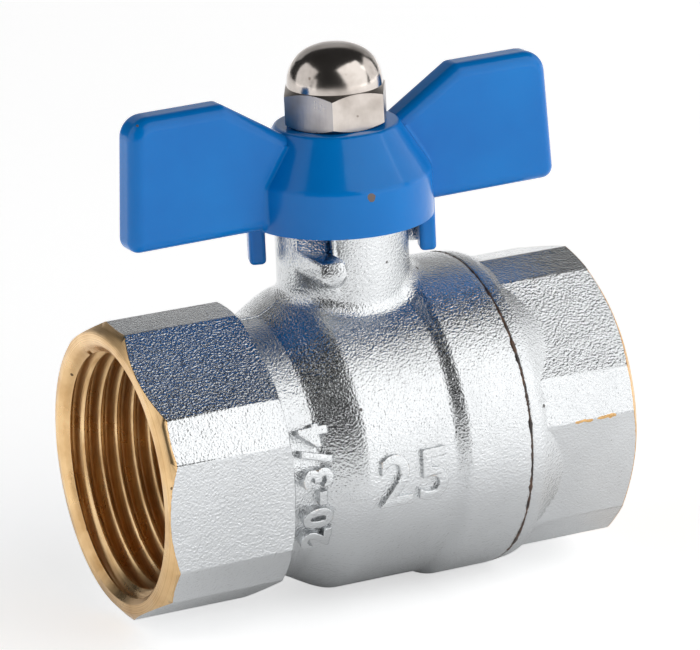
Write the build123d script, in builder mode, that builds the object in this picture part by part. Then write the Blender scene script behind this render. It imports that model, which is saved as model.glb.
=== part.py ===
from build123d import *
import math
import os

# Brass ball valve for a 3/4 inch pipe, with a butterfly handle.
# X runs along the pipe from the inlet to the outlet, Z up the stem, and the
# origin is where the two axes cross. Millimetres throughout.

os.makedirs("parts", exist_ok=True)

# --- ports -----------------------------------------------------------------
inlet_face = -26.6
outlet_face = 25.5
port_radius = 12.06  # crest of the internal 3/4 inch parallel pipe thread
mouth_radius = 13.35  # lead-in countersink at each mouth
mouth_depth = 1.2
port_depth = 12.2
port_end_cone = (0.8, 0.5)  # length of the drill cone behind the inlet and outlet ports
port_end_step = 1.5
bore_radius = 7.5  # the waterway through the webs and the ball

# --- wrench hexagons, with their six corners cut back ------------------------
inlet_flat = 14.4  # axis to a wide flat
outlet_flat = 14.72
wide_flat_angle = 21.4  # half the angle that a wide flat takes up about the axis
hex_edge_round = 0.5
hex_face_radius = 14.3  # where the face chamfer starts
face_chamfer = 1.05
inlet_hex_end = -12.45
inlet_hex_turn = 3.5  # degrees about the pipe axis
outlet_hex_turn = 15.3  # the connector stops where its thread tightens
end_round = 1.3  # length over which the inlet hexagon rounds off into the neck
end_bend = 0.38  # share of that length, from the neck, where the curve bends most
end_drop = 0.25
hex_skirt = 0.2  # how far below the neck's skin the rounded end runs
hex_clearance = 0.05  # cutting profiles stand this far outside the corners

# --- body skin ---------------------------------------------------------------
neck_radius = 13.5
neck_end = -10.0
neck_overlap = 1.0  # the neck starts inside the hexagon
flare_pull = (0.9, 1.3)  # how far the flare's two ends keep their direction
first_drum_radius = 15.66
first_drum_start = -5.1
step_start = 4.1
step_end = 5.9
step_pull = 0.6
second_drum_radius = 16.3
rim_length = 0.7  # the second drum's worn outer rim
rim_drop = 0.15
seam = 12.4  # body end face, against which the connector is tightened
sealant_thickness = 0.15
sealant_depth = 0.3

# --- ball, seats and chamber -------------------------------------------------
ball_radius = 12.4
ball_gap = 0.05
chamber_radius = 13.0
chamber_start = -9.2
chamber_step = 0.4
chamber_cone = 1.8
seat_back = 11.8
seat_front = 7.6
seat_inner = 7.9
seat_outer = 11.25
seat_pocket = 11.3
joint_thread_radius = 13.95
joint_thread_start = 7.9
thread_gap = 0.05
spigot_end = 8.3
spigot_break = 0.6
slot_width = 4.2
slot_length = 10.4
slot_floor = 8.6

# --- collar of the end connector ---------------------------------------------
collar_drop = 0.1  # below the second drum
collar_break = 0.15
collar_width = 1.0
collar_taper = (1.8, 2.2, 4.6)  # where the taper from collar to hexagon bends and ends
taper_drop = 0.3
hexagon_start = 2.0

# --- stem and gland ----------------------------------------------------------
stem_radius = 4.0
stem_bore = 4.05
flange_radius = 5.35
flange_low = 12.9
flange_high = 14.3
pocket_radius = 5.45
pocket_top = 15.3
tang_width = 4.0
tang_length = 9.8
tang_low = 8.75
groove_radius = 3.05
groove_width = 1.2
groove_heights = (16.3, 18.0)
ring_section = 0.45
gland_radius = 5.4
gland_floor = 19.1
packing_height = 1.2
gland_seat = 21.6
boss_radius = 6.77
boss_top = 24.6
boss_root_round = 1.8
boss_root_low = 12.0  # the boss meets the drums above this height
near = 0.5  # how loosely the place of an edge is matched
gland_head_flats = 12.0
gland_head_top = 27.4
drive_low = 28.2
drive_high = 31.9
drive_flats = 6.2
stud_radius = 2.97
stud_top = 38.3
stud_break = 0.6
washer_gap = 0.03
washer_play = 0.08
packing_gap = 0.05

# --- stops on the boss -------------------------------------------------------
bar_left = -6.45
bar_end = -8.6
bar_low = 17.85
bar_high = 20.45
bar_low_round = 1.1
bar_high_round = 0.3
lug_reach = 9.6
lug_width = 2.2
lug_low = 18.9
lug_high = 21.5
stop_gap = 0.1  # left between peg and stop at each end of the quarter turn

# --- handle ------------------------------------------------------------------
hub_radius = 9.44
hub_low = 22.64
hub_shoulder = 27.3
hub_top_radius = 6.3
hub_top = 32.3
shoulder_round = 1.2
hub_top_round = 0.5
hollow_radius = 7.9
drive_play = 0.04
wing_thickness = 4.0
wing_low = 22.8
wing_high = 36.4
wing_tip_low = 24.2
wing_tip_high = 23.4
wing_skew = 2.3  # degrees that the cast wings sit out of line with the drive hole
wing_knee = 13.2
wing_root = 5.0
wing_root_height = 31.3
wing_round = 1.3
junction_round = 0.5
junction_inner = 6.8  # the wings' roots leave the hub outside this distance
junction_side = 1.5
junction_length = 6.0  # longer edges are the hub's own
tip_round_low = 1.2
tip_round_high = 2.3
knee_round = 1.0
peg_radius = 8.7
peg_angle = -16.5  # degrees about the stem, from the pipe's line
peg_depth = 1.7
peg_width = 2.2
peg_corner_round = 0.5
peg_end_round = 0.45
peg_low = 18.3
peg_overlap = 1.0  # the pegs reach this far into the hub

# --- cap nut -----------------------------------------------------------------
nut_flats = 9.9
nut_hex_top = 36.2
dome_radius = 4.85
dome_top = 40.4
nut_thread_radius = 3.0
nut_bore_top = 38.7
nut_chamfer = 0.55
nut_face_inset = 0.1  # the turned end faces are this much smaller than the flats
dome_root = 1.0
dome_bulge = (0.84, 2.6)  # radius share and height of the dome's fullest curve
nut_turn = 1.6

# the shut handle's peg lies a quarter turn on, and the bar's side is just beyond it
peg_slant = math.radians(-peg_angle)
bar_right = -(peg_radius * math.sin(peg_slant) + peg_width / 2 * math.cos(peg_slant) + stop_gap)


# the edges between wide and narrow flats, and a radius just outside them
inlet_corner = inlet_flat / math.cos(math.radians(wide_flat_angle))
outlet_corner = outlet_flat / math.cos(math.radians(wide_flat_angle))
inlet_reach = inlet_corner + hex_clearance
outlet_reach = outlet_corner + hex_clearance


def from_stem(edge):
    """Give the distance from the stem's axis to the middle of an edge."""
    return math.hypot(edge.center().X, edge.center().Y)


def cut_corner_hexagon(flat, corner, turn):
    """Draw the hexagon with cut-back corners, turned about the pipe axis."""
    narrow = corner * math.cos(math.radians(30 - wide_flat_angle))
    RegularPolygon(flat, 6, major_radius=False, rotation=30 + turn)
    RegularPolygon(narrow, 6, major_radius=False, rotation=turn, mode=Mode.INTERSECT)


# --- inlet hexagon: a prism whose inner end is rounded and outer face chamfered
with BuildPart() as inlet_hexagon:
    with BuildSketch(Plane.YZ.offset(inlet_face)):
        cut_corner_hexagon(inlet_flat, inlet_corner, inlet_hex_turn)
    extrude(amount=inlet_hex_end - inlet_face)
    fillet(inlet_hexagon.edges().filter_by(Axis.X), radius=hex_edge_round)
    with BuildSketch(Plane.XZ):
        with BuildLine():
            Polyline(
                (inlet_hex_end, 0),
                (inlet_face, 0),
                (inlet_face, hex_face_radius),
                (inlet_face + face_chamfer, inlet_reach),
                (inlet_hex_end - end_round, inlet_reach),
            )
            Spline(
                (inlet_hex_end - end_round, inlet_reach),
                (inlet_hex_end - end_bend * end_round, inlet_flat - end_drop),
                (inlet_hex_end, neck_radius - hex_skirt),
                tangents=((1, -0.15), (0.3, -1)),
            )
            Line((inlet_hex_end, neck_radius - hex_skirt), (inlet_hex_end, 0))
        make_face()
    revolve(axis=Axis.X, mode=Mode.INTERSECT)

# --- valve body: drums, hexagon, boss and stops in one forging ---------------
neck_start = inlet_hex_end - neck_overlap
with BuildPart() as valve_body:
    with BuildSketch(Plane.XZ):
        with BuildLine():
            Polyline((neck_start, 0), (neck_start, neck_radius), (neck_end, neck_radius))
            Bezier(
                (neck_end, neck_radius),
                (neck_end + flare_pull[0], neck_radius),
                (first_drum_start - flare_pull[1], first_drum_radius),
                (first_drum_start, first_drum_radius),
            )
            Line((first_drum_start, first_drum_radius), (step_start, first_drum_radius))
            Bezier(
                (step_start, first_drum_radius),
                (step_start + step_pull, first_drum_radius),
                (step_end - step_pull, second_drum_radius),
                (step_end, second_drum_radius),
            )
            Line((step_end, second_drum_radius), (seam - rim_length, second_drum_radius))
            Polyline(
                (seam - rim_length, second_drum_radius),
                (seam, second_drum_radius - rim_drop),
                (seam, 0),
                (neck_start, 0),
            )
        make_face()
    revolve(axis=Axis.X)
    with BuildSketch(Plane.XY):
        Circle(boss_radius)
    extrude(amount=boss_top)
    root_edges = valve_body.edges().filter_by(
        lambda edge: from_stem(edge) < boss_radius + near and boss_root_low < edge.center().Z < second_drum_radius
    )
    fillet(root_edges, radius=boss_root_round)
    add(inlet_hexagon.part)
    # the bar that stops a peg when the valve is shut
    with BuildSketch(Plane.XY.offset(bar_low)):
        with Locations(((bar_left + bar_right) / 2, bar_end / 2)):
            Rectangle(bar_right - bar_left, -bar_end)
    extrude(amount=bar_high - bar_low)
    bar_edges = valve_body.edges().filter_by(Axis.Y).filter_by(lambda edge: edge.center().Y < bar_end / 3)
    fillet(bar_edges.group_by(Axis.Z)[0], radius=bar_low_round)
    fillet(bar_edges.group_by(Axis.Z)[-1], radius=bar_high_round)
    # the lug that stops a peg when it is open
    with BuildSketch(Plane.XY.offset(lug_low).rotated((0, 0, peg_angle))):
        with Locations((lug_reach / 2, peg_width / 2 + stop_gap + lug_width / 2)):
            Rectangle(lug_reach, lug_width)
    extrude(amount=lug_high - lug_low)
    # waterway: port, web, seat pocket, chamber, thread for the connector
    with BuildSketch(Plane.XZ):
        with BuildLine():
            Polyline(
                (inlet_face, 0),
                (inlet_face, mouth_radius),
                (inlet_face + mouth_depth, port_radius),
                (inlet_face + port_depth, port_radius),
                (inlet_face + port_depth + port_end_cone[0], bore_radius + port_end_step),
                (inlet_face + port_depth + port_end_cone[0], bore_radius),
                (-seat_back, bore_radius),
                (-seat_back, seat_pocket),
                (chamber_start, seat_pocket),
                (chamber_start, seat_pocket + chamber_step),
                (chamber_start + chamber_cone, chamber_radius),
                (joint_thread_start, chamber_radius),
                (joint_thread_start, joint_thread_radius),
                (seam, joint_thread_radius),
                (seam, 0),
                (inlet_face, 0),
            )
        make_face()
    revolve(axis=Axis.X, mode=Mode.SUBTRACT)
    # stem passage: flange pocket, running bore, gland
    with BuildSketch(Plane.XZ):
        with BuildLine():
            Polyline(
                (0, 0),
                (pocket_radius, 0),
                (pocket_radius, pocket_top),
                (stem_bore, pocket_top),
                (stem_bore, gland_floor),
                (gland_radius, gland_floor),
                (gland_radius, boss_top),
                (0, boss_top),
                (0, 0),
            )
        make_face()
    revolve(axis=Axis.Z, mode=Mode.SUBTRACT)
valve_body.part.label = "valve_body"
export_step(valve_body.part, "parts/valve_body.step")

# --- end connector: spigot, collar, hexagon and outlet port ------------------
collar_face = seam + sealant_thickness
hexagon_plane = Plane.YZ.offset(collar_face + hexagon_start)
collar_radius = second_drum_radius - collar_drop
taper_low, taper_bend, taper_end = collar_taper
with BuildPart() as outlet_hexagon:
    with BuildSketch(hexagon_plane):
        cut_corner_hexagon(outlet_flat, outlet_corner, outlet_hex_turn)
    extrude(amount=outlet_face - collar_face - hexagon_start)
    fillet(outlet_hexagon.edges().filter_by(Axis.X), radius=hex_edge_round)
    with BuildSketch(Plane.XZ):
        with BuildLine():
            Polyline(
                (collar_face, 0),
                (outlet_face, 0),
                (outlet_face, hex_face_radius),
                (outlet_face - face_chamfer, outlet_reach),
                (collar_face, outlet_reach),
                (collar_face, 0),
            )
        make_face()
    revolve(axis=Axis.X, mode=Mode.INTERSECT)

with BuildPart() as end_connector:
    with BuildSketch(Plane.XZ):
        with BuildLine():
            Polyline(
                (spigot_end, 0),
                (spigot_end, joint_thread_radius - thread_gap - spigot_break),
                (spigot_end + spigot_break, joint_thread_radius - thread_gap),
                (collar_face, joint_thread_radius - thread_gap),
                (collar_face, collar_radius - collar_break),
                (collar_face + collar_break, collar_radius),
                (collar_face + collar_width, collar_radius - collar_drop),
            )
            Bezier(
                (collar_face + collar_width, collar_radius - collar_drop),
                (collar_face + taper_low, collar_radius - 2 * collar_drop),
                (collar_face + taper_bend, outlet_reach - taper_drop),
                (collar_face + taper_end, outlet_flat - hex_clearance),
            )
            Polyline(
                (collar_face + taper_end, outlet_flat - hex_clearance),
                (collar_face + taper_end, 0),
                (spigot_end, 0),
            )
        make_face()
    revolve(axis=Axis.X)
    add(outlet_hexagon.part)
    with BuildSketch(Plane.XZ):
        with BuildLine():
            Polyline(
                (spigot_end, 0),
                (spigot_end, seat_pocket),
                (seat_back, seat_pocket),
                (seat_back, bore_radius),
                (outlet_face - port_depth - port_end_cone[1], bore_radius),
                (outlet_face - port_depth - port_end_cone[1], bore_radius + port_end_step),
                (outlet_face - port_depth, port_radius),
                (outlet_face - mouth_depth, port_radius),
                (outlet_face, mouth_radius),
                (outlet_face, 0),
                (spigot_end, 0),
            )
        make_face()
    revolve(axis=Axis.X, mode=Mode.SUBTRACT)
end_connector.part.label = "end_connector"
export_step(end_connector.part, "parts/end_connector.step")

# --- bead of cured sealant squeezed between body and collar -------------------
with BuildPart() as joint_sealant:
    with BuildSketch(Plane.YZ.offset(seam)):
        Circle(second_drum_radius - sealant_depth)
        Circle(joint_thread_radius + 2 * thread_gap, mode=Mode.SUBTRACT)
    extrude(amount=sealant_thickness)
joint_sealant.part.label = "joint_sealant"
export_step(joint_sealant.part, "parts/joint_sealant.step")

# --- ball with its waterway and the slot that the stem drives -----------------
rim_break = 0.4
ball_face = math.sqrt(ball_radius**2 - (bore_radius + rim_break) ** 2)
with BuildPart() as ball:
    with BuildSketch(Plane.XZ):
        with BuildLine():
            ThreePointArc((-ball_face, bore_radius + rim_break), (0, ball_radius), (ball_face, bore_radius + rim_break))
            Polyline(
                (ball_face, bore_radius + rim_break),
                (ball_face - rim_break, bore_radius),
                (rim_break - ball_face, bore_radius),
                (-ball_face, bore_radius + rim_break),
            )
        make_face()
    revolve(axis=Axis.X)
    with BuildSketch(Plane.XY.offset(slot_floor)):
        SlotOverall(slot_length, slot_width, rotation=90)
    extrude(amount=ball_radius, mode=Mode.SUBTRACT)
ball.part.label = "ball"
export_step(ball.part, "parts/ball.step")

# --- seats: rings whose inner face is cut to the ball's sphere -----------------
seal_radius = ball_radius + ball_gap
for seat_name, side in (("inlet_seat", -1), ("outlet_seat", 1)):
    front_height = math.sqrt(seal_radius**2 - seat_front**2)
    lip_depth = math.sqrt(seal_radius**2 - seat_inner**2)
    mid_angle = (math.asin(front_height / seal_radius) + math.asin(seat_inner / seal_radius)) / 2
    middle = (side * seal_radius * math.cos(mid_angle), seal_radius * math.sin(mid_angle))
    with BuildPart() as seat:
        with BuildSketch(Plane.XZ):
            with BuildLine():
                Polyline(
                    (side * lip_depth, seat_inner),
                    (side * seat_back, seat_inner),
                    (side * seat_back, seat_outer),
                    (side * seat_front, seat_outer),
                    (side * seat_front, front_height),
                )
                ThreePointArc((side * seat_front, front_height), middle, (side * lip_depth, seat_inner))
            make_face()
        revolve(axis=Axis.X)
    seat.part.label = seat_name
    export_step(seat.part, f"parts/{seat_name}.step")

# --- stem, put in from inside so that pressure can't push it out ---------------
with BuildPart() as stem:
    with BuildSketch(Plane.XY.offset(tang_low)):
        SlotOverall(tang_length, tang_width, rotation=90)
    extrude(amount=flange_low - tang_low)
    with BuildSketch(Plane.XZ):
        with BuildLine():
            Polyline(
                (0, flange_low),
                (flange_radius, flange_low),
                (flange_radius, flange_high),
                (stem_radius, flange_high),
                (stem_radius, drive_high),
                (stud_radius, drive_high),
                (stud_radius, stud_top - stud_break),
                (stud_radius - stud_break, stud_top),
                (0, stud_top),
                (0, flange_low),
            )
        make_face()
    revolve(axis=Axis.Z)
    for height in groove_heights:
        with BuildSketch(Plane.XY.offset(height - groove_width / 2)):
            Circle(stem_radius)
            Circle(groove_radius, mode=Mode.SUBTRACT)
        extrude(amount=groove_width, mode=Mode.SUBTRACT)
    with BuildSketch(Plane.XY.offset(drive_low)):
        Circle(stem_radius)
        Rectangle(2 * stem_radius, drive_flats, mode=Mode.SUBTRACT)
    extrude(amount=drive_high - drive_low, mode=Mode.SUBTRACT)
stem.part.label = "stem"
export_step(stem.part, "parts/stem.step")

# --- thrust washer between the stem's flange and the body ----------------------
with BuildPart() as thrust_washer:
    with BuildSketch(Plane.XY.offset(flange_high + washer_gap)):
        Circle(flange_radius)
        Circle(stem_radius + washer_play, mode=Mode.SUBTRACT)
    extrude(amount=pocket_top - flange_high - washer_gap)
thrust_washer.part.label = "thrust_washer"
export_step(thrust_washer.part, "parts/thrust_washer.step")

# --- stem o-rings ---------------------------------------------------------------
for ring_name, height in zip(("lower_stem_o_ring", "upper_stem_o_ring"), groove_heights):
    with BuildPart() as stem_ring:
        with BuildSketch(Plane.XZ):
            with Locations((groove_radius + ring_section, height)):
                Circle(ring_section)
        revolve(axis=Axis.Z)
    stem_ring.part.label = ring_name
    export_step(stem_ring.part, f"parts/{ring_name}.step")

# --- packing rings, pressed on the stem by the gland nut ------------------------
for index, ring_name in enumerate(("lower_packing_ring", "upper_packing_ring")):
    with BuildPart() as packing_ring:
        with BuildSketch(Plane.XY.offset(gland_floor + index * (packing_height + packing_gap))):
            Circle(gland_radius - packing_gap)
            Circle(stem_radius + packing_gap, mode=Mode.SUBTRACT)
        extrude(amount=packing_height)
    packing_ring.part.label = ring_name
    export_step(packing_ring.part, f"parts/{ring_name}.step")

# --- gland nut, hidden inside the handle's hub ----------------------------------
with BuildPart() as gland_nut:
    with BuildSketch(Plane.XY.offset(gland_seat)):
        Circle(gland_radius - thread_gap)
    extrude(amount=boss_top - gland_seat)
    with BuildSketch(Plane.XY.offset(boss_top)):
        RegularPolygon(gland_head_flats / 2, 6, major_radius=False)
    extrude(amount=gland_head_top - boss_top)
    with BuildSketch(Plane.XY.offset(gland_seat)):
        Circle(stem_bore)
    extrude(amount=gland_head_top - gland_seat, mode=Mode.SUBTRACT)
gland_nut.part.label = "gland_nut"
export_step(gland_nut.part, "parts/gland_nut.step")

# --- butterfly handle: hollow hub, two wings and two stop pegs ------------------
with BuildPart() as wings:
    with BuildSketch(Plane.XZ.rotated((0, 0, wing_skew)).offset(-wing_thickness / 2)):
        with BuildLine():
            Polyline(
                (0, wing_low),
                (wing_tip_low, wing_low),
                (wing_tip_high, wing_high),
                (wing_knee, wing_high),
                (wing_root, wing_root_height),
                (0, wing_root_height),
                (0, wing_low),
            )
        make_face()
        mirror(about=Plane.YZ)
    extrude(amount=wing_thickness)
    across = wings.faces().sort_by(SortBy.AREA)[-1].normal_at()
    corners = wings.edges().filter_by(Axis((0, 0, 0), across))
    tips = corners.filter_by(lambda edge: from_stem(edge) > wing_knee + 2)
    fillet(tips.group_by(Axis.Z)[0], radius=tip_round_low)
    fillet(tips.group_by(Axis.Z)[-1], radius=tip_round_high)
    knees = wings.edges().filter_by(Axis((0, 0, 0), across))
    knees = knees.filter_by(lambda edge: abs(from_stem(edge) - wing_knee) < 1)
    fillet(knees, radius=knee_round)
    outline = wings.faces().filter_by(Axis((0, 0, 0), across)).edges()
    outline = outline.filter_by(lambda edge: edge.center().Z > wing_low + 0.1 and abs(edge.center().X) > 1)
    fillet(outline, radius=wing_round)

with BuildPart() as handle:
    with BuildSketch(Plane.XZ):
        with BuildLine():
            Polyline(
                (0, hub_low),
                (hub_radius, hub_low),
                (hub_radius, hub_shoulder),
                (hub_top_radius, hub_top),
                (0, hub_top),
                (0, hub_low),
            )
        make_face()
    revolve(axis=Axis.Z)
    shoulder_rims = handle.edges().filter_by(lambda edge: edge.center().Z > hub_shoulder - 0.1)
    fillet(shoulder_rims.filter_by(GeomType.CIRCLE).group_by(Axis.Z)[0], radius=shoulder_round)
    fillet(handle.edges().filter_by(GeomType.CIRCLE).group_by(Axis.Z)[-1], radius=hub_top_round)
    add(wings.part)
    junction = handle.edges().filter_by(
        lambda edge: junction_inner < abs(edge.center().X) < hub_radius
        and abs(edge.center().Y) > junction_side
        and edge.length < junction_length
        and hub_low + near < edge.center().Z < wing_root_height
    )
    fillet(junction, radius=junction_round)
    with BuildSketch(Plane.XY.offset(peg_low).rotated((0, 0, peg_angle))):
        with Locations((-peg_radius, 0), (peg_radius, 0)):
            RectangleRounded(peg_depth, peg_width, radius=peg_corner_round)
    extrude(amount=wing_low + peg_overlap - peg_low)
    fillet(handle.faces().sort_by(Axis.Z)[:2].edges(), radius=peg_end_round)
    with BuildSketch(Plane.XY.offset(hub_low)):
        Circle(hollow_radius)
    extrude(amount=drive_low - hub_low, mode=Mode.SUBTRACT)
    with BuildSketch(Plane.XY.offset(drive_low)):
        Circle(stem_radius + drive_play)
        Rectangle(3 * stem_radius, drive_flats + 2 * drive_play, mode=Mode.INTERSECT)
    extrude(amount=hub_top - drive_low, mode=Mode.SUBTRACT)
handle.part.label = "handle"
export_step(handle.part, "parts/handle.step")

# --- domed cap nut -----------------------------------------------------------
nut_corner = nut_flats / math.sqrt(3)
with BuildPart() as cap_nut:
    with BuildSketch(Plane.XY.offset(hub_top)):
        RegularPolygon(nut_flats / 2, 6, major_radius=False, rotation=nut_turn)
    extrude(amount=nut_hex_top - hub_top)
    with BuildSketch(Plane.XZ):
        with BuildLine():
            Polyline(
                (0, hub_top),
                (nut_flats / 2 - nut_face_inset, hub_top),
                (nut_corner + hex_clearance, hub_top + nut_chamfer),
                (nut_corner + hex_clearance, nut_hex_top - nut_chamfer),
                (nut_flats / 2 - nut_face_inset, nut_hex_top),
                (0, nut_hex_top),
                (0, hub_top),
            )
        make_face()
    revolve(axis=Axis.Z, mode=Mode.INTERSECT)
    with BuildSketch(Plane.XZ):
        with BuildLine():
            Line((0, nut_hex_top - dome_root), (dome_radius, nut_hex_top - dome_root))
            Line((dome_radius, nut_hex_top - dome_root), (dome_radius, nut_hex_top))
            Spline(
                (dome_radius, nut_hex_top),
                (dome_radius * dome_bulge[0], nut_hex_top + dome_bulge[1]),
                (0, dome_top),
                tangents=((0, 1), (-1, 0)),
            )
            Line((0, dome_top), (0, nut_hex_top - dome_root))
        make_face()
    revolve(axis=Axis.Z)
    with BuildSketch(Plane.XY.offset(hub_top)):
        Circle(nut_thread_radius)
    extrude(amount=nut_bore_top - hub_top, mode=Mode.SUBTRACT)
cap_nut.part.label = "cap_nut"
export_step(cap_nut.part, "parts/cap_nut.step")
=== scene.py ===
import bmesh
import bpy
import math
from mathutils import Matrix, Vector, noise
from mathutils.bvhtree import BVHTree


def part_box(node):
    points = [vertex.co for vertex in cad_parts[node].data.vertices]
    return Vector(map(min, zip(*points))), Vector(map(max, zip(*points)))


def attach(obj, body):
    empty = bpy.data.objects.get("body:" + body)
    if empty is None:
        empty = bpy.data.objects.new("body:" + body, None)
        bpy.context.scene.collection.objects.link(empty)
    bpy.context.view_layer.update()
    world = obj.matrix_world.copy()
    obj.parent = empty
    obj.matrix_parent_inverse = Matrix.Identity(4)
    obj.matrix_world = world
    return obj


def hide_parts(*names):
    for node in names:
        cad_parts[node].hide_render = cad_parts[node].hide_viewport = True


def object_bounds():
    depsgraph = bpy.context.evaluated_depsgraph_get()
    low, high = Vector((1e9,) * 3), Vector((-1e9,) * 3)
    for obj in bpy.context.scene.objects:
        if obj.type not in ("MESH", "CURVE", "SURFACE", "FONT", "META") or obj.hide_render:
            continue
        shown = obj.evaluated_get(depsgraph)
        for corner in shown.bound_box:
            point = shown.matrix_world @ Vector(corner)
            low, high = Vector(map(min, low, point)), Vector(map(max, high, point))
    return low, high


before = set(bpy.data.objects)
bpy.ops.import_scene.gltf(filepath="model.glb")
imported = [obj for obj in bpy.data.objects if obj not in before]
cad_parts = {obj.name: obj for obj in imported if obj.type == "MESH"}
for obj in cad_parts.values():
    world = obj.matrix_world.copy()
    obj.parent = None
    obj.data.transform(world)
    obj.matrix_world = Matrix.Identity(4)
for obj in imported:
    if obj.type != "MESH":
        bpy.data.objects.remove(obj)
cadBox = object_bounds()
scene = bpy.context.scene
mm = 0.001
white = (1, 1, 1, 1)
print("frame loaded:", len(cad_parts), "parts")


# shader nodes

def fillInputs(tree, node, inputs):
    for key, value in inputs.items():
        if isinstance(value, bpy.types.NodeSocket):
            tree.links.new(value, node.inputs[key])
        else:
            node.inputs[key].default_value = value


def addNode(tree, kind, inputs=None, **settings):
    node = tree.nodes.new("ShaderNode" + kind)
    for key, value in settings.items():
        setattr(node, key, value)
    fillInputs(tree, node, inputs or {})
    return node


def calc(tree, operation, first, second):
    return addNode(tree, "Math", {0: first, 1: second}, operation=operation).outputs[0]


def times(tree, first, second):
    return calc(tree, "MULTIPLY", first, second)


def remap(tree, value, low, high, toLow=0.0, toHigh=1.0):
    inputs = {"Value": value, "From Min": low, "From Max": high, "To Min": toLow, "To Max": toHigh}
    return addNode(tree, "MapRange", inputs).outputs[0]


def blendColour(tree, mask, first, second):
    return addNode(tree, "Mix", {0: mask, 6: first, 7: second}, data_type="RGBA").outputs[2]


def noiseAt(tree, place, scale, detail):
    return addNode(tree, "TexNoise", {"Vector": place, "Scale": scale, "Detail": detail}).outputs["Fac"]


def distanceTo(tree, place, point):
    return addNode(tree, "VectorMath", {0: place, 1: point}, operation="DISTANCE").outputs["Value"]


def pipeRadius(tree, place):
    # a point's place along the pipe, and its distance from the pipe's axis
    axes = addNode(tree, "SeparateXYZ", {0: place}).outputs
    flat = addNode(tree, "CombineXYZ", {"Y": axes["Y"], "Z": axes["Z"]}).outputs[0]
    return axes["X"], addNode(tree, "VectorMath", {0: flat}, operation="LENGTH").outputs["Value"]


def newMaterial(name, **fixed):
    mat = bpy.data.materials.new(name)
    mat.use_nodes = True
    tree = mat.node_tree
    shader = tree.nodes["Principled BSDF"]
    for label, value in fixed.items():
        shader.inputs[label.replace("_", " ")].default_value = value
    place = addNode(tree, "TexCoord").outputs["Object"]
    return mat, tree, shader, place


# camera and studio

cameraSet = {"azimuth": 25.13, "elevation": 17.15, "roll": -2.56, "distance": 489.74 * mm,
             "aim": (0.504 * mm, 0, 10.85 * mm), "lens": 248.1, "sensor": 36, "clipStart": 10 * mm}


def placeCamera():
    s = cameraSet
    a, e, r = (math.radians(s[k]) for k in ("azimuth", "elevation", "roll"))
    back = Vector((-math.sin(a) * math.cos(e), -math.cos(a) * math.cos(e), math.sin(e)))
    right = Vector((math.cos(a), -math.sin(a), 0))
    up = back.cross(right)
    across = right * math.cos(r) + up * math.sin(r)
    upwards = up * math.cos(r) - right * math.sin(r)
    cam = bpy.data.objects.new("camera", bpy.data.cameras.new("camera"))
    cam.data.lens = s["lens"]
    cam.data.sensor_width = s["sensor"]
    cam.data.clip_start = s["clipStart"]
    scene.collection.objects.link(cam)
    turn = Matrix((across, upwards, back)).transposed().to_4x4()
    cam.matrix_world = Matrix.Translation(Vector(s["aim"]) + back * s["distance"]) @ turn
    scene.camera = cam


# each softbox: degrees to the right of the camera from and to, degrees up from and to, brightness
studioSet = {"floorSize": 6.0, "floorColour": (0.90, 0.90, 0.90, 1), "floorRoughness": 0.8,
             "floorGlow": 0.58, "floorReflected": 0.72, "floorShade": (17 * mm, 62 * mm),
             "ambient": 0.035, "backdrop": 1.0, "distance": 0.6,
             "softboxes": {"rightSoftbox": (22, 92, -2, 65, 1.55), "sideSoftbox": (92, 132, -2, 40, 1.25),
                           "leftSoftbox": (-110, -56, -2, 50, 1.0), "lowLeftCard": (-56, -44, -2, 24, 1.0),
                           "backCard": (142, 218, -2, 18, 0.75), "backFill": (142, 218, 19, 38, 0.42)}}


def softbox(name, spec):
    left, right, low, high, brightness = spec
    distance = studioSet["distance"]
    a = math.radians((left + right) / 2 - cameraSet["azimuth"])
    e = math.radians((low + high) / 2)
    data = bpy.data.lights.new(name, "AREA")
    data.shape = "RECTANGLE"
    data.size = 2 * distance * math.cos(e) * math.tan(math.radians(right - left) / 2)
    data.size_y = 2 * distance * math.tan(math.radians(high - low) / 2)
    data.energy = math.pi * data.size * data.size_y * brightness
    lamp = bpy.data.objects.new(name, data)
    towards = Vector((math.sin(a) * math.cos(e), -math.cos(a) * math.cos(e), math.sin(e)))
    lamp.location = towards * distance
    lamp.rotation_euler = (-towards).to_track_quat("-Z", "Y").to_euler()
    lamp.visible_camera = False
    scene.collection.objects.link(lamp)


def makePaleFloor():
    s = studioSet
    mat, tree, shader, place = newMaterial("paleFloor", Base_Color=s["floorColour"],
                                           Roughness=s["floorRoughness"], Emission_Color=white)
    # the camera sees an even glow; reflections see one that fades out towards the object, a painted shadow of
    # the object on the floor
    reach = addNode(tree, "VectorMath", {0: place}, operation="LENGTH").outputs["Value"]
    shadowedReflectionGlow = remap(tree, reach, *s["floorShade"], 0.0, s["floorReflected"])
    seen = addNode(tree, "LightPath").outputs["Is Camera Ray"]
    glow = remap(tree, seen, 0.0, 1.0, shadowedReflectionGlow, s["floorGlow"])
    tree.links.new(glow, shader.inputs["Emission Strength"])
    return mat


def layFloor():
    shape = bmesh.new()
    bmesh.ops.create_grid(shape, x_segments=1, y_segments=1, size=studioSet["floorSize"] / 2)
    bmesh.ops.translate(shape, verts=shape.verts, vec=(0, 0, cadBox[0][2]))
    data = bpy.data.meshes.new("floor")
    shape.to_mesh(data)
    shape.free()
    data.materials.append(makePaleFloor())
    floor = bpy.data.objects.new("floor", data)
    scene.collection.objects.link(floor)


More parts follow.
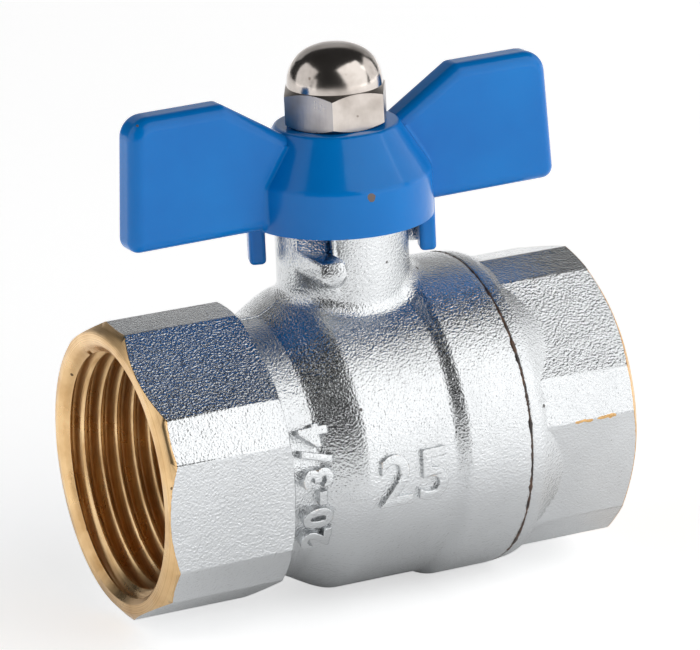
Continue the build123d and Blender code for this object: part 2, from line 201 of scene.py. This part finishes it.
def hangBackdrop():
    # the camera sees a white backdrop; everything else gets a dim one
    world = bpy.data.worlds.new("studio")
    world.use_nodes = True
    tree = world.node_tree
    dim = tree.nodes["Background"]
    fillInputs(tree, dim, {"Color": white, "Strength": studioSet["ambient"]})
    pale = addNode(tree, "Background", {"Color": white, "Strength": studioSet["backdrop"]})
    seen = addNode(tree, "LightPath").outputs["Is Camera Ray"]
    mix = addNode(tree, "MixShader", {0: seen, 1: dim.outputs[0], 2: pale.outputs[0]})
    tree.links.new(mix.outputs[0], tree.nodes["World Output"].inputs[0])
    scene.world = world


placeCamera()
layFloor()
hangBackdrop()
for name, spec in studioSet["softboxes"].items():
    softbox(name, spec)
scene.view_settings.view_transform = "Standard"
print("studio built")


# node groups shared by the materials

def newGroup(name, inputs, outputs):
    group = bpy.data.node_groups.new(name, "ShaderNodeTree")
    for label, kind in inputs.items():
        group.interface.new_socket(label, in_out="INPUT", socket_type="NodeSocket" + kind)
    for label in outputs:
        group.interface.new_socket(label, in_out="OUTPUT", socket_type="NodeSocketFloat")
    return group, group.nodes.new("NodeGroupInput").outputs, group.nodes.new("NodeGroupOutput")


grainSet = {"detail": 2.0, "roughness": 0.55, "dimpleScale": 0.9, "smoothness": 0.6, "dimples": 0.35,
            "slowScale": 0.11, "slowDetail": 1.0, "waviness": 0.5}


def makeForgedGrain():
    # tumbled and shot-blasted skin: fine dimples over a slow waviness
    s = grainSet
    group, given, result = newGroup("forgedGrain", {"Vector": "Vector", "Scale": "Float"}, ("Height",))
    vector, scale = given["Vector"], given["Scale"]
    fine = addNode(group, "TexNoise", {"Vector": vector, "Scale": scale, "Detail": s["detail"],
                                       "Roughness": s["roughness"]}).outputs["Fac"]
    dimples = addNode(group, "TexVoronoi", {"Vector": vector, "Scale": times(group, scale, s["dimpleScale"]),
                                            "Smoothness": s["smoothness"]},
                      feature="SMOOTH_F1").outputs["Distance"]
    slow = noiseAt(group, vector, times(group, scale, s["slowScale"]), s["slowDetail"])
    height = calc(group, "ADD", fine, times(group, dimples, s["dimples"]))
    height = calc(group, "ADD", height, times(group, slow, s["waviness"]))
    group.links.new(height, result.inputs["Height"])
    return group


turnedSet = {"detail": 3.0, "broadScale": 0.05, "streaks": (0.35, 0.7)}


def makeTurnedLines():
    # tool marks of a lathe, on a part whose axis is X
    s = turnedSet
    group, given, result = newGroup("turnedLines", {"Vector": "Vector", "Scale": "Float"}, ("Height", "Streak"))
    x, radius = pipeRadius(group, given["Vector"])
    along = times(group, calc(group, "ADD", x, radius), given["Scale"])
    lines = addNode(group, "TexNoise", {"W": along, "Scale": 1.0, "Detail": s["detail"]},
                    noise_dimensions="1D").outputs["Fac"]
    broad = noiseAt(group, given["Vector"], times(group, given["Scale"], s["broadScale"]), s["detail"])
    group.links.new(lines, result.inputs["Height"])
    group.links.new(times(group, remap(group, lines, *s["streaks"]), broad), result.inputs["Streak"])
    return group


speckSet = {"wobbleScale": 4.0, "wobbleDetail": 2.0}


def makeSpecks():
    # scattered pits, dust or chips: Share is the part of the cells that holds one
    s = speckSet
    inputs = {"Vector": "Vector", "Scale": "Float", "Radius": "Float", "Share": "Float"}
    group, given, result = newGroup("specks", inputs, ("Mask",))
    vector, radius = given["Vector"], given["Radius"]
    wobble = noiseAt(group, vector, times(group, given["Scale"], s["wobbleScale"]), s["wobbleDetail"])
    cells = addNode(group, "TexVoronoi", {"Vector": vector, "Scale": given["Scale"]})
    distance = calc(group, "ADD", cells.outputs["Distance"],
                    times(group, calc(group, "SUBTRACT", wobble, 0.5), radius))
    inside = calc(group, "LESS_THAN", distance, radius)
    tint = addNode(group, "SeparateColor", {0: cells.outputs["Color"]}).outputs[0]
    chosen = calc(group, "LESS_THAN", tint, given["Share"])
    group.links.new(times(group, inside, chosen), result.inputs["Mask"])
    return group


wearSet = {"samples": 4, "facing": (0.995, 0.93), "scale": 900.0, "detail": 4.0}


def makeEdgeWear():
    # rubbed edges: where a rounded normal leaves the true one, broken up by a coarse noise
    s = wearSet
    inputs = {"Vector": "Vector", "Radius": "Float", "Amount": "Float"}
    group, given, result = newGroup("edgeWear", inputs, ("Mask",))
    rounded = addNode(group, "Bevel", {"Radius": given["Radius"]}, samples=s["samples"])
    true = addNode(group, "NewGeometry").outputs["Normal"]
    facing = addNode(group, "VectorMath", {0: rounded.outputs[0], 1: true},
                     operation="DOT_PRODUCT").outputs["Value"]
    breakup = noiseAt(group, given["Vector"], s["scale"], s["detail"])
    edge = times(group, remap(group, facing, *s["facing"]), breakup)
    worn = calc(group, "GREATER_THAN", edge, calc(group, "SUBTRACT", 1.0, given["Amount"]))
    group.links.new(worn, result.inputs["Mask"])
    return group


groups = {"grain": makeForgedGrain(), "turned": makeTurnedLines(), "specks": makeSpecks(),
          "wear": makeEdgeWear()}


def useGroup(tree, key, inputs):
    return addNode(tree, "Group", inputs, node_tree=groups[key]).outputs


def specksAt(tree, place, scale, radius, share):
    return useGroup(tree, "specks", {"Vector": place, "Scale": scale, "Radius": radius, "Share": share})["Mask"]


def wearAt(tree, place, radius, amount):
    return useGroup(tree, "wear", {"Vector": place, "Radius": radius, "Amount": amount})["Mask"]


def dress(tree, shader, colour, roughness, height, depth):
    tree.links.new(colour, shader.inputs["Base Color"])
    tree.links.new(roughness, shader.inputs["Roughness"])
    bump = addNode(tree, "Bump", {"Height": height, "Distance": depth, "Strength": 1.0})
    tree.links.new(bump.outputs[0], shader.inputs["Normal"])


# materials: a noise is given as scale and detail, specks as scale, radius and share of the cells
middleOfNoise = (0.3, 0.7)
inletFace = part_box("valve_body")[0].x
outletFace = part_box("end_connector")[1].x
chamferSet = {"startRadius": 14.3 * mm, "inletSlope": 1.05 / 1.215, "outletSlope": 1.05 / 1.56}


def chamferDistance(tree, place):
    # how far along the pipe a point stands from the cone of the nearer turned end
    x, radius = pipeRadius(tree, place)
    rise = calc(tree, "SUBTRACT", radius, chamferSet["startRadius"])
    inlet = calc(tree, "SUBTRACT", calc(tree, "SUBTRACT", x, inletFace),
                 times(tree, rise, chamferSet["inletSlope"]))
    outlet = calc(tree, "SUBTRACT", calc(tree, "SUBTRACT", outletFace, x),
                  times(tree, rise, chamferSet["outletSlope"]))
    return calc(tree, "MINIMUM", inlet, outlet)


platingSet = {"colour": (0.66, 0.675, 0.685, 1), "dark": (0.42, 0.43, 0.44, 1), "brass": (0.66, 0.40, 0.17, 1),
              "nick": (0.05, 0.04, 0.035, 1), "grain": 4400.0, "depth": 0.090 * mm,
              "cloud": (130.0, 4.0), "clouding": (0.35, 0.75, 0.0, 0.22), "roughness": (0.17, 0.25),
              "pits": (560.0, 0.11, 0.05), "pitStain": 0.8, "pitRoughness": 0.3, "pitDepth": 1.4,
              "wear": (0.25 * mm, 0.38), "wearStrength": 0.5, "ragged": (1500.0, 3.0), "bite": 0.144 * mm,
              "nicks": (260.0, 0.20, 0.20), "nickReach": 0.36 * mm,
              "scuff": ((17.8, -15.72, 1.58), (22.2, -15.72, 1.62)), "scuffWidth": 0.78 * mm,
              "scuffBreaks": 0.35}


def makeScuff(tree, place, ragged):
    # one edge of the connector is rubbed through: a broken line between two points
    start, end = (Vector(point) * mm for point in platingSet["scuff"])
    line = (end - start).normalized()
    offset = addNode(tree, "VectorMath", {0: place, 1: start}, operation="SUBTRACT").outputs[0]
    along = addNode(tree, "VectorMath", {0: offset, 1: line}, operation="DOT_PRODUCT").outputs["Value"]
    held = addNode(tree, "Clamp", {"Value": along, "Min": 0.0, "Max": (end - start).length}).outputs[0]
    foot = addNode(tree, "VectorMath", {0: line, "Scale": held}, operation="SCALE").outputs[0]
    reach = times(tree, calc(tree, "SUBTRACT", ragged, platingSet["scuffBreaks"]), platingSet["scuffWidth"])
    return calc(tree, "LESS_THAN", distanceTo(tree, offset, foot), reach)


def makePlating():
    mat, tree, shader, place = newMaterial("platedSkin", Metallic=1.0)
    s = platingSet
    grain = useGroup(tree, "grain", {"Vector": place, "Scale": s["grain"]})["Height"]
    pits = specksAt(tree, place, *s["pits"])
    cloud = noiseAt(tree, place, *s["cloud"])
    rubbed = wearAt(tree, place, *s["wear"])
    colour = blendColour(tree, remap(tree, cloud, *s["clouding"]), s["colour"], s["dark"])
    colour = blendColour(tree, times(tree, pits, s["pitStain"]), colour, s["nick"])
    colour = blendColour(tree, times(tree, rubbed, s["wearStrength"]), colour, s["brass"])
    # the turned ends bite unevenly into the plating
    away = chamferDistance(tree, place)
    ragged = noiseAt(tree, place, *s["ragged"])
    bitten = calc(tree, "LESS_THAN", away, times(tree, ragged, s["bite"]))
    nicks = specksAt(tree, place, *s["nicks"])
    nearBorder = calc(tree, "LESS_THAN", away, s["nickReach"])
    colour = blendColour(tree, bitten, colour, s["brass"])
    colour = blendColour(tree, makeScuff(tree, place, ragged), colour, s["brass"])
    colour = blendColour(tree, times(tree, nicks, nearBorder), colour, s["nick"])
    roughness = remap(tree, cloud, *middleOfNoise, *s["roughness"])
    roughness = calc(tree, "ADD", roughness, times(tree, pits, s["pitRoughness"]))
    height = calc(tree, "SUBTRACT", grain, times(tree, pits, s["pitDepth"]))
    dress(tree, shader, colour, roughness, height, s["depth"])
    return mat


brassSet = {"light": (0.89, 0.63, 0.34, 1), "dark": (0.48, 0.26, 0.09, 1), "stain": (0.06, 0.035, 0.02, 1),
            "lines": 9000.0, "stemLines": 11000.0, "depth": 0.012 * mm, "cloud": (260.0, 5.0),
            "clouding": (0.45, 0.8, 0.0, 0.5), "stains": (420.0, 0.075, 0.10), "stainStrength": 0.85,
            "roughness": (0.24, 0.38), "grit": (5200.0, 2.0), "gritHeight": 0.7}


def makeBrass(name, lines, alongZ=False):
    mat, tree, shader, place = newMaterial(name, Metallic=1.0)
    s = brassSet
    if alongZ:
        place = addNode(tree, "Mapping", {"Vector": place, "Rotation": (0, math.pi / 2, 0)}).outputs[0]
    turned = useGroup(tree, "turned", {"Vector": place, "Scale": lines})
    cloud = noiseAt(tree, place, *s["cloud"])
    stains = specksAt(tree, place, *s["stains"])
    colour = blendColour(tree, turned["Streak"], s["light"], s["dark"])
    colour = blendColour(tree, remap(tree, cloud, *s["clouding"]), colour, s["dark"])
    colour = blendColour(tree, times(tree, stains, s["stainStrength"]), colour, s["stain"])
    grit = noiseAt(tree, place, *s["grit"])
    height = calc(tree, "ADD", turned["Height"], times(tree, grit, s["gritHeight"]))
    dress(tree, shader, colour, remap(tree, cloud, *middleOfNoise, *s["roughness"]), height, s["depth"])
    return mat


# each chip: its centre and its size, in millimetres
paintSet = {"colour": (0.0, 0.190, 0.590, 1), "deep": (0.0, 0.155, 0.520, 1), "metal": (0.16, 0.13, 0.12, 1),
            "dust": (0.35, 0.50, 0.75, 1), "chips": (((-0.9, -9.4, 26.7), 0.42), ((-22.7, -2.4, 36.1), 0.42)),
            "coat": 0.25, "coatRoughness": 0.08, "specular": 0.15, "roughness": (0.16, 0.26),
            "cloud": (90.0, 3.0), "clouding": (0.35, 0.7), "peel": (1300.0, 2.0), "ragged": (1900.0, 3.0),
            "motes": (310.0, 0.065, 0.07), "wear": (0.2 * mm, 0.33), "chipSpread": 0.5,
            "cloudHeight": 5.0, "chipDepth": 6.0, "moteHeight": 3.0, "depth": 0.006 * mm}


def makePaint():
    s = paintSet
    mat, tree, shader, place = newMaterial("glossBluePaint", Coat_Weight=s["coat"],
                                           Coat_Roughness=s["coatRoughness"], Specular_IOR_Level=s["specular"])
    cloud = noiseAt(tree, place, *s["cloud"])
    peel = noiseAt(tree, place, *s["peel"])
    ragged = noiseAt(tree, place, *s["ragged"])
    motes = specksAt(tree, place, *s["motes"])
    chipped = wearAt(tree, place, *s["wear"])
    for centre, size in s["chips"]:
        gap = distanceTo(tree, place, tuple(c * mm for c in centre))
        reach = times(tree, calc(tree, "ADD", ragged, s["chipSpread"]), size * mm)
        chipped = calc(tree, "MAXIMUM", chipped, calc(tree, "LESS_THAN", gap, reach))
    colour = blendColour(tree, remap(tree, cloud, *s["clouding"]), s["colour"], s["deep"])
    colour = blendColour(tree, motes, colour, s["dust"])
    colour = blendColour(tree, chipped, colour, s["metal"])
    height = calc(tree, "ADD", times(tree, cloud, s["cloudHeight"]), peel)
    height = calc(tree, "SUBTRACT", height, times(tree, chipped, s["chipDepth"]))
    height = calc(tree, "ADD", height, times(tree, motes, s["moteHeight"]))
    dress(tree, shader, colour, remap(tree, cloud, *middleOfNoise, *s["roughness"]), height, s["depth"])
    return mat


nutSet = {"colour": (0.56, 0.51, 0.47, 1), "dark": (0.24, 0.20, 0.17, 1), "hexTop": 36.2 * mm,
          "stretch": (1.0, 1.0, 0.06), "brushed": (6000.0, 3.0), "cloud": (420.0, 5.0),
          "clouding": (0.4, 0.8, 0.0, 0.6), "pits": (1300.0, 0.22, 0.10), "pitStain": 0.7,
          "roughness": (0.13, 0.22), "hexRoughness": 0.14, "lineHeight": 1.3, "cloudHeight": 0.8,
          "depth": 0.010 * mm}


def makeNutSteel():
    # the hexagon is brushed upright, the dome above it is smooth
    mat, tree, shader, place = newMaterial("stainlessNut", Metallic=1.0)
    s = nutSet
    stretched = addNode(tree, "Mapping", {"Vector": place, "Scale": s["stretch"]}).outputs[0]
    brushed = noiseAt(tree, stretched, *s["brushed"])
    cloud = noiseAt(tree, place, *s["cloud"])
    pits = specksAt(tree, place, *s["pits"])
    onHex = calc(tree, "LESS_THAN", addNode(tree, "SeparateXYZ", {0: place}).outputs["Z"], s["hexTop"])
    colour = blendColour(tree, remap(tree, cloud, *s["clouding"]), s["colour"], s["dark"])
    colour = blendColour(tree, times(tree, pits, s["pitStain"]), colour, s["dark"])
    roughness = remap(tree, cloud, *middleOfNoise, *s["roughness"])
    roughness = calc(tree, "ADD", roughness, times(tree, onHex, s["hexRoughness"]))
    lines = times(tree, times(tree, brushed, onHex), s["lineHeight"])
    height = calc(tree, "ADD", calc(tree, "SUBTRACT", lines, pits), times(tree, cloud, s["cloudHeight"]))
    dress(tree, shader, colour, roughness, height, s["depth"])
    return mat


chromeSet = {"colour": (0.77, 0.78, 0.80, 1), "scratch": (0.2, 0.2, 0.2, 1), "cloud": (200.0, 4.0),
             "lines": 14000.0, "scratches": (900.0, 0.08, 0.05), "scratchStrength": 0.6,
             "roughness": (0.05, 0.12), "depth": 0.0015 * mm}
sealSet = {"light": (0.86, 0.86, 0.84, 1), "dark": (0.76, 0.76, 0.73, 1), "mark": (0.4, 0.38, 0.35, 1),
           "scatter": 0.1, "scatterDepth": 0.5 * mm, "cloud": (500.0, 4.0), "lines": 7000.0,
           "marks": (800.0, 0.1, 0.08), "markStrength": 0.5, "roughness": (0.38, 0.5), "depth": 0.008 * mm}
rubberSet = {"dark": (0.012, 0.012, 0.013, 1), "light": (0.03, 0.03, 0.032, 1), "bloom": (0.12, 0.12, 0.12, 1),
             "cloud": (700.0, 4.0), "blooms": (1500.0, 0.12, 0.15), "bloomStrength": 0.4,
             "roughness": (0.42, 0.6), "depth": 0.01 * mm}
sealantSet = {"dark": (0.018, 0.010, 0.007, 1), "light": (0.11, 0.055, 0.03, 1), "cloud": (900.0, 4.0),
              "clouding": (0.4, 0.65), "roughness": (0.3, 0.5), "depth": 0.03 * mm}


def makeChrome():
    mat, tree, shader, place = newMaterial("hardChrome", Metallic=1.0)
    s = chromeSet
    cloud = noiseAt(tree, place, *s["cloud"])
    turned = useGroup(tree, "turned", {"Vector": place, "Scale": s["lines"]})["Height"]
    scratches = times(tree, specksAt(tree, place, *s["scratches"]), s["scratchStrength"])
    colour = blendColour(tree, scratches, s["colour"], s["scratch"])
    dress(tree, shader, colour, remap(tree, cloud, *middleOfNoise, *s["roughness"]), turned, s["depth"])
    return mat


def makeSealPlastic():
    s = sealSet
    mat, tree, shader, place = newMaterial("whiteSealPlastic", Subsurface_Weight=s["scatter"],
                                           Subsurface_Scale=s["scatterDepth"])
    cloud = noiseAt(tree, place, *s["cloud"])
    turned = useGroup(tree, "turned", {"Vector": place, "Scale": s["lines"]})["Height"]
    marks = times(tree, specksAt(tree, place, *s["marks"]), s["markStrength"])
    colour = blendColour(tree, marks, blendColour(tree, cloud, s["light"], s["dark"]), s["mark"])
    dress(tree, shader, colour, remap(tree, cloud, *middleOfNoise, *s["roughness"]), turned, s["depth"])
    return mat


def makeRubber():
    mat, tree, shader, place = newMaterial("blackRingRubber")
    s = rubberSet
    cloud = noiseAt(tree, place, *s["cloud"])
    bloom = times(tree, specksAt(tree, place, *s["blooms"]), s["bloomStrength"])
    colour = blendColour(tree, bloom, blendColour(tree, cloud, s["dark"], s["light"]), s["bloom"])
    dress(tree, shader, colour, remap(tree, cloud, *middleOfNoise, *s["roughness"]), cloud, s["depth"])
    return mat


def makeSealant():
    mat, tree, shader, place = newMaterial("curedSealant")
    s = sealantSet
    cloud = noiseAt(tree, place, *s["cloud"])
    colour = blendColour(tree, remap(tree, cloud, *s["clouding"]), s["dark"], s["light"])
    dress(tree, shader, colour, remap(tree, cloud, *middleOfNoise, *s["roughness"]), cloud, s["depth"])
    return mat


plating = makePlating()
brass = makeBrass("machinedBrass", brassSet["lines"])
turnedBrass = makeBrass("turnedStemBrass", brassSet["stemLines"], alongZ=True)
paint = makePaint()
nutSteel = makeNutSteel()
chrome = makeChrome()
sealPlastic = makeSealPlastic()
rubber = makeRubber()
sealant = makeSealant()
print("materials made:", len(bpy.data.materials))


# housing: the forged body and the end connector, with their pipe threads cut

housingSet = {"portRadius": 13.4 * mm, "chamferDepth": 1.36 * mm, "stemPassage": 5.6 * mm, "weld": 0.0005 * mm,
              "endFacing": 0.5, "flatWeight": 100}


def newPiece(shape, name, materials, sharpAngle=28):
    data = bpy.data.meshes.new(name)
    shape.to_mesh(data)
    shape.free()
    return pieceFromMesh(data, name, materials, sharpAngle)


def pieceFromMesh(data, name, materials, sharpAngle=28):
    data.materials.clear()
    for mat in materials:
        data.materials.append(mat)
    data.shade_smooth()
    data.set_sharp_from_angle(angle=math.radians(sharpAngle))
    piece = bpy.data.objects.new(name, data)
    scene.collection.objects.link(piece)
    return piece


def mergedCopy(node):
    shape = bmesh.new()
    shape.from_mesh(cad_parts[node].data)
    bmesh.ops.remove_doubles(shape, verts=shape.verts, dist=housingSet["weld"])
    return shape


# groove outline: half width and radius, from the rounded crests of the thread to its rounded root
threadSet = {"pitch": 1.814 * mm, "stepsPerTurn": 90, "overrun": 0.9 * mm, "length": 11.3 * mm,
             "groove": ((0.87, 11.6), (0.87, 12.04), (0.79, 12.12), (0.66, 12.26), (0.46, 12.62),
                        (0.29, 12.94), (0.17, 13.12), (0.06, 13.20))}


def threadCutter(face, inward):
    s = threadSet
    start = face - s["overrun"] if inward > 0 else face - s["length"]
    reach = s["length"] + s["overrun"]
    shape = bmesh.new()
    outline = [(start - w * mm, r * mm) for w, r in s["groove"]]
    outline += [(start + w * mm, r * mm) for w, r in reversed(s["groove"])]
    shape.faces.new([shape.verts.new((x, 0, -r)) for x, r in outline])
    steps = round(reach / s["pitch"] * s["stepsPerTurn"])
    bmesh.ops.spin(shape, geom=shape.verts[:] + shape.edges[:] + shape.faces[:], cent=(0, 0, 0),
                   axis=(1, 0, 0), dvec=(s["pitch"] / s["stepsPerTurn"], 0, 0),
                   angle=steps * math.tau / s["stepsPerTurn"], steps=steps, use_merge=False,
                   use_duplicate=False)
    bmesh.ops.recalc_face_normals(shape, faces=shape.faces)
    data = bpy.data.meshes.new("threadCutter")
    shape.to_mesh(data)
    shape.free()
    cutter = bpy.data.objects.new("threadCutter", data)
    scene.collection.objects.link(cutter)
    return cutter


def cutThread(piece, cutter):
    step = piece.modifiers.new("thread", "BOOLEAN")
    step.operation = "DIFFERENCE"
    step.solver = "EXACT"
    step.object = cutter
    graph = bpy.context.evaluated_depsgraph_get()
    data = bpy.data.meshes.new_from_object(piece.evaluated_get(graph))
    bpy.data.objects.remove(piece)
    bpy.data.objects.remove(cutter)
    return data


def markBareBrass(data, face, inward):
    # the turned end, the port, the waterway and the stem passage are bare brass
    for side in data.polygons:
        x, y, z = side.center
        radius = math.hypot(y, z)
        inside = radius < housingSet["portRadius"]
        nearEnd = (x - face) * inward < housingSet["chamferDepth"]
        turnedEnd = nearEnd and side.normal.x * inward < -housingSet["endFacing"]
        passage = z > 0 and math.hypot(x, y) < housingSet["stemPassage"]
        side.material_index = 1 if inside or turnedEnd or passage else 0


def buildHousing(node, name, face, inward):
    rough = newPiece(mergedCopy(node), name + "_rough", [plating])
    data = cutThread(rough, threadCutter(face, inward))
    piece = pieceFromMesh(data, name, [plating, brass])
    markBareBrass(piece.data, face, inward)
    # big flats keep their own direction beside the small rounds
    flats = piece.modifiers.new("flats", "WEIGHTED_NORMAL")
    flats.keep_sharp = True
    flats.weight = housingSet["flatWeight"]
    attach(piece, "housing")
    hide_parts(node)
    return piece


forgedBody = buildHousing("valve_body", "forged_body", inletFace, 1)
threadedEnd = buildHousing("end_connector", "threaded_end", outletFace, -1)
print("threads cut:", len(forgedBody.data.polygons), len(threadedEnd.data.polygons))


# raised details of the forging, laid on its own skin

def skinFinder(piece):
    shape = bmesh.new()
    shape.from_mesh(piece.data)
    tree = BVHTree.FromBMesh(shape)
    shape.free()
    return tree


housingSkin = skinFinder(forgedBody)
skinSet = {"outside": 60}


def skinRadius(along, angle):
    # distance from the pipe's axis to the forging's outer skin; angle is upwards from the front
    out = Vector((0, -math.cos(angle), math.sin(angle)))
    far = Vector((along, 0, 0)) + out * skinSet["outside"] * mm
    hit = housingSkin.ray_cast(far, -out)[0]
    return math.hypot(hit.y, hit.z)


# raised numerals: nominal bore, thread size and pressure class; sideways ones read upwards
numeralSet = {"thread_size_numerals": {"text": "20-3/4", "size": 4.1, "along": -10.2, "angle": -3.0,
                                       "sideways": True, "low": 13.1, "top": 14.4, "spread": 1.22,
                                       "fat": 0.22},
              "pressure_numerals": {"text": "25", "size": 7.4, "along": -0.5, "angle": -3.5,
                                    "sideways": False, "low": 15.4, "top": 16.1, "spread": 1.12,
                                    "fat": 0.16}}
letterSet = {"curveSteps": 6, "edgeRound": 0.12 * mm, "edgeSteps": 2, "weld": 0.001 * mm, "slice": 0.45,
             "sliceMerge": 0.0001 * mm, "wearScale": 900, "wear": 0.05, "sharpAngle": 50}


def raisedNumerals(name, spec):
    s = letterSet
    words = bpy.data.curves.new(name, "FONT")
    words.body = spec["text"]
    words.size = spec["size"] * mm
    words.space_character = spec["spread"]
    words.align_x = "CENTER"
    words.align_y = "CENTER"
    words.resolution_u = s["curveSteps"]
    words.offset = spec["fat"] * mm - s["edgeRound"]
    words.bevel_depth = s["edgeRound"]
    words.bevel_resolution = s["edgeSteps"]
    words.extrude = (spec["top"] - spec["low"]) / 2 * mm - words.bevel_depth
    holder = bpy.data.objects.new(name + "_text", words)
    scene.collection.objects.link(holder)
    graph = bpy.context.evaluated_depsgraph_get()
    flat = bpy.data.meshes.new_from_object(holder.evaluated_get(graph))
    bpy.data.objects.remove(holder)
    shape = bmesh.new()
    shape.from_mesh(flat)
    bmesh.ops.remove_doubles(shape, verts=shape.verts, dist=s["weld"])
    if spec["sideways"]:
        bmesh.ops.rotate(shape, verts=shape.verts, cent=(0, 0, 0),
                         matrix=Matrix.Rotation(math.pi / 2, 3, "Z"))
    # cut across the bend so that the flat faces follow it
    reach = max(abs(v.co.y) for v in shape.verts)
    cuts = math.ceil(reach / (s["slice"] * mm))
    for k in range(-cuts, cuts + 1):
        bmesh.ops.bisect_plane(shape, geom=shape.verts[:] + shape.edges[:] + shape.faces[:],
                               dist=s["sliceMerge"], plane_co=(0, k * s["slice"] * mm, 0),
                               plane_no=(0, 1, 0))
    middle = (spec["top"] + spec["low"]) / 2 * mm
    for v in shape.verts:
        worn = noise.noise(v.co * s["wearScale"]) * s["wear"] * mm
        angle = math.radians(spec["angle"]) + v.co.y / middle
        radius = middle + v.co.z + (worn if v.co.z > 0 else 0)
        v.co = (spec["along"] * mm + v.co.x, -radius * math.cos(angle), radius * math.sin(angle))
    bmesh.ops.recalc_face_normals(shape, faces=shape.faces)
    piece = newPiece(shape, name, [plating], sharpAngle=s["sharpAngle"])
    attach(piece, "housing")


for name, spec in numeralSet.items():
    raisedNumerals(name, spec)
print("numerals raised:", len(numeralSet))


# flash left where the forging dies met: stretches along the pipe, at an angle up from the front
flashSet = {"width": 0.26, "height": 0.12, "depth": 0.3, "step": 0.35, "taperSteps": 3,
            "ripple": 0.05, "rippleScale": 1500, "sway": 0.09, "swayScale": 500,
            "edgeRound": 0.08 * mm, "shortest": 0.1 * mm, "sharpAngle": 60,
            "stretches": {"neck_parting_line": (-12.3, -7.3, 90), "lower_parting_line": (-4.6, 3.6, -90)}}


def partingLine(name, start, end, angle):
    s = flashSet
    turn = math.radians(angle)
    out = Vector((0, -math.cos(turn), math.sin(turn)))
    shape = bmesh.new()
    count = round((end - start) / s["step"])
    edges = []
    last = None
    for k in range(count + 1):
        along = (start + (end - start) * k / count) * mm
        taper = min(1.0, k / s["taperSteps"], (count - k) / s["taperSteps"])
        ripple = s["ripple"] * noise.noise(Vector((along * s["rippleScale"], angle, 0)))
        lift = (s["height"] * taper + ripple) * mm
        sway = s["sway"] * noise.noise(Vector((along * s["swayScale"], angle, 7))) * mm
        v = shape.verts.new(Vector((along, sway, 0)) + out * (skinRadius(along, turn) + lift))
        if last:
            edges.append(shape.edges.new((last, v)))
        last = v
    down = bmesh.ops.extrude_edge_only(shape, edges=edges)["geom"]
    bmesh.ops.translate(shape, verts=[g for g in down if isinstance(g, bmesh.types.BMVert)],
                        vec=-out * (s["depth"] + s["height"]) * mm)
    wall = bmesh.ops.extrude_face_region(shape, geom=shape.faces[:])["geom"]
    bmesh.ops.translate(shape, verts=[g for g in wall if isinstance(g, bmesh.types.BMVert)],
                        vec=(0, s["width"] * mm, 0))
    bmesh.ops.translate(shape, verts=shape.verts, vec=(0, -s["width"] / 2 * mm, 0))
    bmesh.ops.recalc_face_normals(shape, faces=shape.faces)
    ridge = [e for e in shape.edges if e.calc_face_angle(0) > 1
             and abs((e.verts[0].co - e.verts[1].co).x) > s["shortest"]]
    bmesh.ops.bevel(shape, geom=ridge, offset=s["edgeRound"], offset_type="OFFSET", segments=2,
                    profile=0.5, affect="EDGES", material=-1, clamp_overlap=True)
    piece = newPiece(shape, name, [plating], sharpAngle=s["sharpAngle"])
    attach(piece, "housing")


for name, (start, end, angle) in flashSet["stretches"].items():
    partingLine(name, start, end, angle)
print("parting lines laid:", len(flashSet["stretches"]))


# bead of sealant squeezed out of the joint, uneven along its way round
beadSet = {"ring": 16.02, "section": 0.17, "steps": 360, "sides": 10, "limit": 16.26, "waves": 9,
           "ripples": 4, "rippleShare": 0.7, "swell": 1.1, "thinnest": -0.6, "swayWaves": 6, "sway": 0.065,
           "sharpAngle": 60}


def sealantBead():
    s = beadSet
    low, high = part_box("joint_sealant")
    middle = (low.x + high.x) / 2
    shape = bmesh.new()
    bmesh.ops.create_circle(shape, segments=s["sides"], radius=s["section"] * mm, cap_ends=False)
    bmesh.ops.rotate(shape, verts=shape.verts, cent=(0, 0, 0),
                     matrix=Matrix.Rotation(math.pi / 2, 3, "X"))
    bmesh.ops.translate(shape, verts=shape.verts, vec=(middle, 0, s["ring"] * mm))
    bmesh.ops.spin(shape, geom=shape.verts[:] + shape.edges[:], cent=(0, 0, 0), axis=(1, 0, 0),
                   angle=math.tau, steps=s["steps"], use_merge=True, use_duplicate=False)
    for v in shape.verts:
        angle = math.atan2(v.co.z, v.co.y)
        wayRound = Vector((math.cos(angle) * s["waves"], math.sin(angle) * s["waves"], 0))
        blob = noise.noise(wayRound) + s["rippleShare"] * noise.noise(wayRound * s["ripples"])
        centre = Vector((middle, math.cos(angle) * s["ring"] * mm, math.sin(angle) * s["ring"] * mm))
        side = (v.co - centre) * (1 + s["swell"] * max(blob, s["thinnest"]))
        side.x += noise.noise(wayRound * s["swayWaves"]) * s["sway"] * mm
        v.co = centre + side
        radius = math.hypot(v.co.y, v.co.z)
        if radius > s["limit"] * mm:
            v.co.yz *= s["limit"] * mm / radius
    bmesh.ops.recalc_face_normals(shape, faces=shape.faces)
    piece = newPiece(shape, "sealant_bead", [sealant], sharpAngle=s["sharpAngle"])
    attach(piece, "housing")
    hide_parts("joint_sealant")


sealantBead()
print("sealant bead laid")


# carried-over nodes take their finishes through their slots

finishes = {"ball": chrome, "inlet_seat": sealPlastic, "outlet_seat": sealPlastic,
            "thrust_washer": sealPlastic, "lower_packing_ring": sealPlastic,
            "upper_packing_ring": sealPlastic, "lower_stem_o_ring": rubber, "upper_stem_o_ring": rubber,
            "gland_nut": turnedBrass, "stem": turnedBrass, "handle": paint, "cap_nut": nutSteel}
for node, finish in finishes.items():
    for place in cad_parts[node].material_slots:
        place.material = finish
print("finishes set:", len(finishes))
